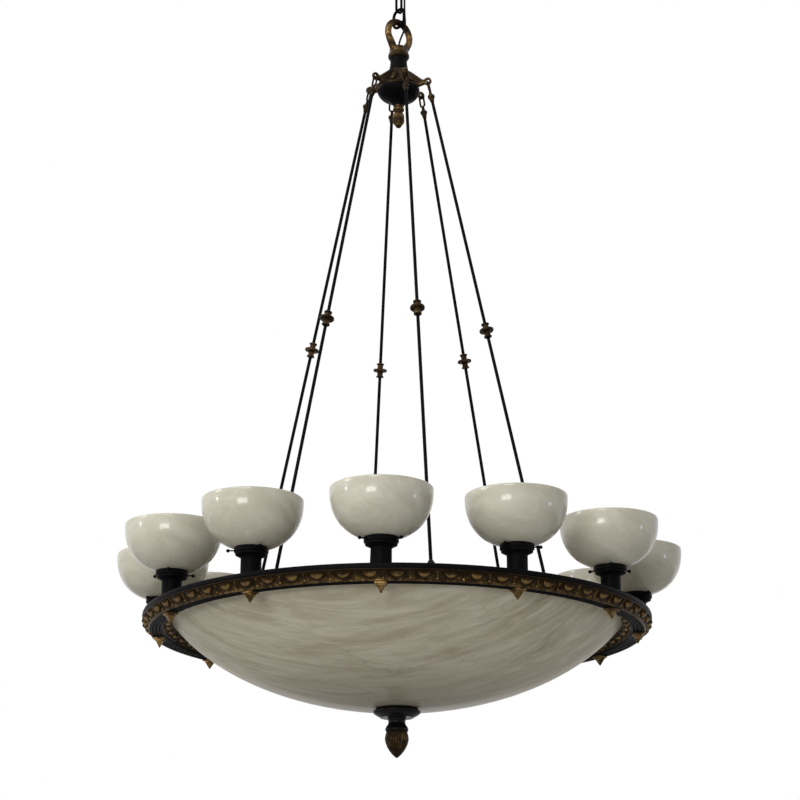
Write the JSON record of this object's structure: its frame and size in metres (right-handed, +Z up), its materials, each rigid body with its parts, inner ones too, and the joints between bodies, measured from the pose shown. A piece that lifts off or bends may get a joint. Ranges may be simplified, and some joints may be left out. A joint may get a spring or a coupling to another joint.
{
  "type": "chandelier",
  "caption": "Auditorium chandelier: alabaster bowl in a black and bronze ring that carries upturned alabaster cups, hung by jointed rods from a hub on a short chain",
  "frame": {"origin": "centre of the ceiling plate's upper face, where it meets the ceiling; everything hangs below it", "axes": "+Z up along the chandelier's vertical axis; one of the six rods is towards -Y, and the lamps stand 15 degrees either side of each rod"},
  "size_m": [1.6708, 1.6708, 2.6604],
  "materials": {
    "black_paint": "semi-gloss near-black enamel on steel, worn soft",
    "antique_bronze": "cast brass with a dark antique patina, rubbed gold on the high points",
    "alabaster": "polished translucent ivory-grey alabaster with faint veins",
    "steel": "plain zinc-plated steel, hidden",
    "porcelain": "white glazed porcelain",
    "bulb_glass": "frosted lamp glass",
    "cord_rubber": "black rubber-covered cable",
    "felt": "dark wool felt"
  },
  "bodies": {
    "ceiling_fitting": {"ceiling_plate": "steel", "ceiling_eye_bolt": "black_paint", "ceiling_canopy": "black_paint", "canopy_nut": "antique_bronze", "cord_bush": "cord_rubber", "terminal_block": "porcelain", "power_cord_top": "cord_rubber"},
    "upper_link": {"chain_link_upper": "black_paint", "power_cord_middle": "cord_rubber"},
    "lower_link": {"chain_link_lower": "black_paint", "power_cord_bottom": "cord_rubber"},
    "chandelier": {"suspension_loop": "antique_bronze", "hub_neck": "black_paint", "hub_crown": "antique_bronze", "hub_bell": "black_paint", "hub_finial": "antique_bronze", "hub_tie_rod": "steel", "rod_eyes": "antique_bronze", "upper_rods": "black_paint", "rod_knops": "antique_bronze", "lower_rods": "black_paint", "rod_foot_cones": "antique_bronze", "ring_top_rail": "black_paint", "ring_channel": "steel", "ring_outer_band": "antique_bronze", "ring_inner_band": "antique_bronze", "ring_soffit": "black_paint", "ring_loom": "cord_rubber", "spider_boss": "black_paint", "spider_arms": "black_paint", "spider_bolts": "steel", "lamp_nipples": "steel", "drop_finials": "antique_bronze", "shade_fitters": "black_paint", "shade_thumbscrews": "black_paint", "lamp_sockets": "porcelain", "lamp_bulbs": "bulb_glass", "shade_1": "alabaster", "shade_2": "alabaster", "shade_3": "alabaster", "shade_4": "alabaster", "shade_5": "alabaster", "shade_6": "alabaster", "shade_7": "alabaster", "shade_8": "alabaster", "shade_9": "alabaster", "shade_10": "alabaster", "shade_11": "alabaster", "shade_12": "alabaster", "centre_tube": "steel", "centre_nuts": "steel", "lamp_cluster": "steel", "bowl": "alabaster", "bowl_felt": "felt", "bowl_washers": "cord_rubber", "bottom_collar": "black_paint", "bottom_neck": "black_paint", "bottom_acorn": "antique_bronze"}
  },
  "joints": [
    {"name": "eye_swing", "type": "hinge", "parent": "ceiling_fitting", "child": "upper_link", "pos_m": [0, 0, -0.10725], "axis": [-0.5, 0.866, 0], "range_deg": [-20, 20], "deforming": ["power_cord_top"]},
    {"name": "link_swing", "type": "hinge", "parent": "upper_link", "child": "lower_link", "pos_m": [0, 0, -0.16545], "axis": [0.866, 0.5, 0], "range_deg": [-20, 20], "deforming": ["power_cord_middle"]},
    {"name": "loop_swing", "type": "hinge", "parent": "lower_link", "child": "chandelier", "pos_m": [0, 0, -0.2219], "axis": [-0.5, 0.866, 0], "range_deg": [-15, 15], "deforming": ["power_cord_bottom"]}
  ]
}
